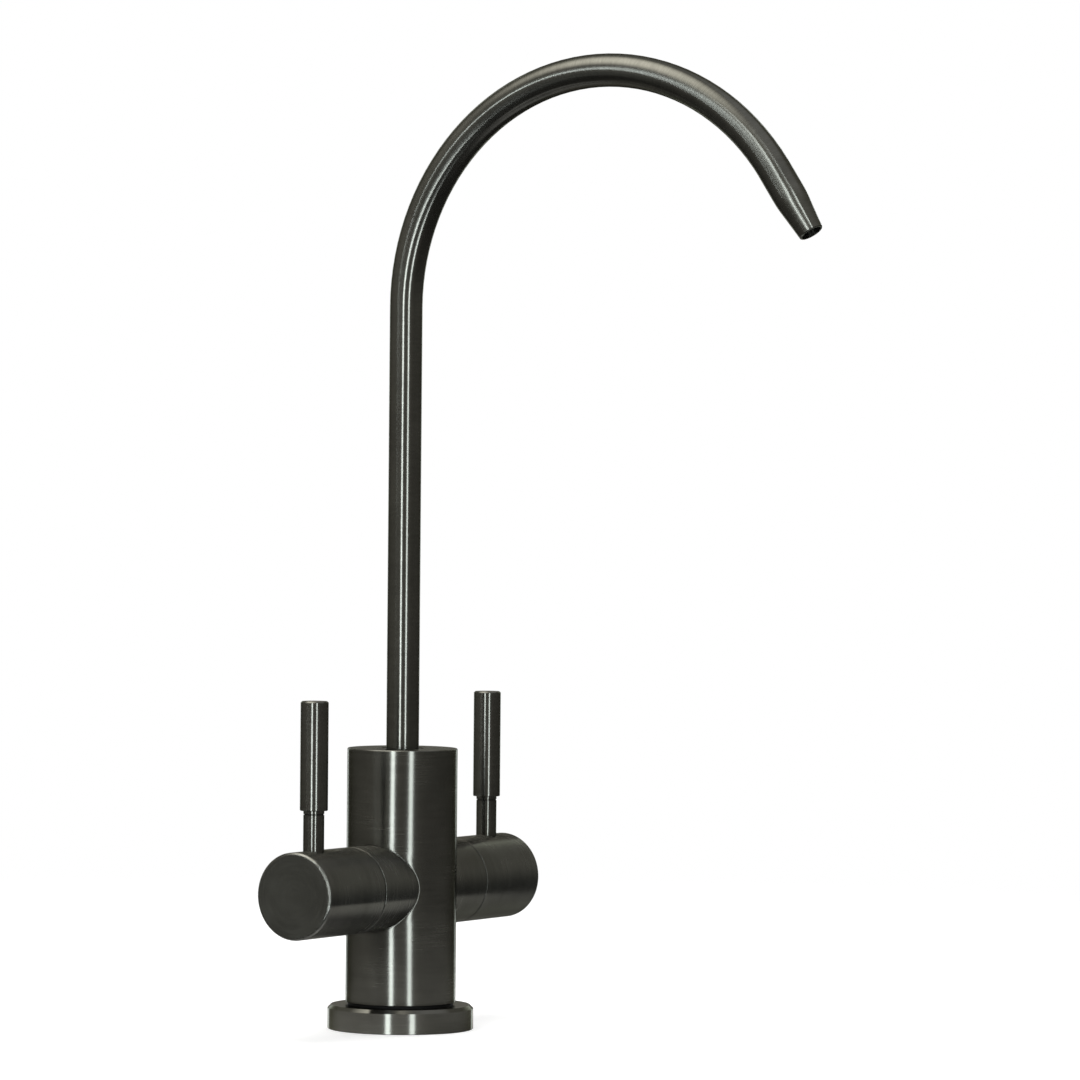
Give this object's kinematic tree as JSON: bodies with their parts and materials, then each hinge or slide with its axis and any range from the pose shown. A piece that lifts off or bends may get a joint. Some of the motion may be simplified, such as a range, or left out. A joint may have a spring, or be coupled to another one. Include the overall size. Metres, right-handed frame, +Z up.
{
  "type": "drinking water filter tap",
  "caption": "Slim round filter tap in dark gunmetal: swivelling gooseneck spout, upright body with side valves and upright levers, round base plate.",
  "frame": {"origin": "centre of the underside, in the plane of the worktop, at the mouth of the stud hole", "axes": "+Z up, the spout points along -Y towards the person, the valves and levers lie along X"},
  "size_m": [0.112, 0.1582, 0.281],
  "materials": {
    "gunmetal": "dark gunmetal coating on fine turned brushing",
    "tube_metal": "dark gunmetal coating, a little more polished",
    "brass": "turned",
    "rubber": "moulded",
    "ceramic": "lapped",
    "polymer": "moulded",
    "screw_steel": "blackened steel"
  },
  "bodies": {
    "tap_body": {"base_flange": "gunmetal", "base_seal": "rubber", "body_gasket": "rubber", "body": "gunmetal", "spout_bush": "polymer", "spout_washer": "polymer", "spout_keeper_screw": "screw_steel", "left_seat_seal": "rubber", "left_fixed_disc": "ceramic", "left_cartridge": "brass", "left_cartridge_ring_seal": "rubber", "right_seat_seal": "rubber", "right_fixed_disc": "ceramic", "right_cartridge": "brass", "right_cartridge_ring_seal": "rubber"},
    "spout": {"spout_tube": "tube_metal", "spout_spigot": "brass", "spout_ring_seals": "rubber", "flow_straightener": "polymer"},
    "left_handle": {"left_moving_disc": "ceramic", "left_spindle": "brass", "left_spindle_ring_seal": "rubber", "left_spindle_clip": "screw_steel", "left_barrel": "gunmetal", "left_barrel_screw": "screw_steel", "left_lever_stem": "tube_metal", "left_lever_grip": "gunmetal"},
    "right_handle": {"right_moving_disc": "ceramic", "right_spindle": "brass", "right_spindle_ring_seal": "rubber", "right_spindle_clip": "screw_steel", "right_barrel": "gunmetal", "right_barrel_screw": "screw_steel", "right_lever_stem": "tube_metal", "right_lever_grip": "gunmetal"}
  },
  "joints": [
    {"name": "spout_swivel", "type": "hinge", "parent": "tap_body", "child": "spout", "pos_m": [0, 0, 0.0814], "axis": [0, 0, 1], "continuous": true},
    {"name": "left_valve_turn", "type": "hinge", "parent": "tap_body", "child": "left_handle", "pos_m": [-0.0272, 0, 0.0415], "axis": [1, 0, 0], "range_deg": [0, 90]},
    {"name": "right_valve_turn", "type": "hinge", "parent": "tap_body", "child": "right_handle", "pos_m": [0.0272, 0, 0.0415], "axis": [1, 0, 0], "range_deg": [0, 90]}
  ]
}
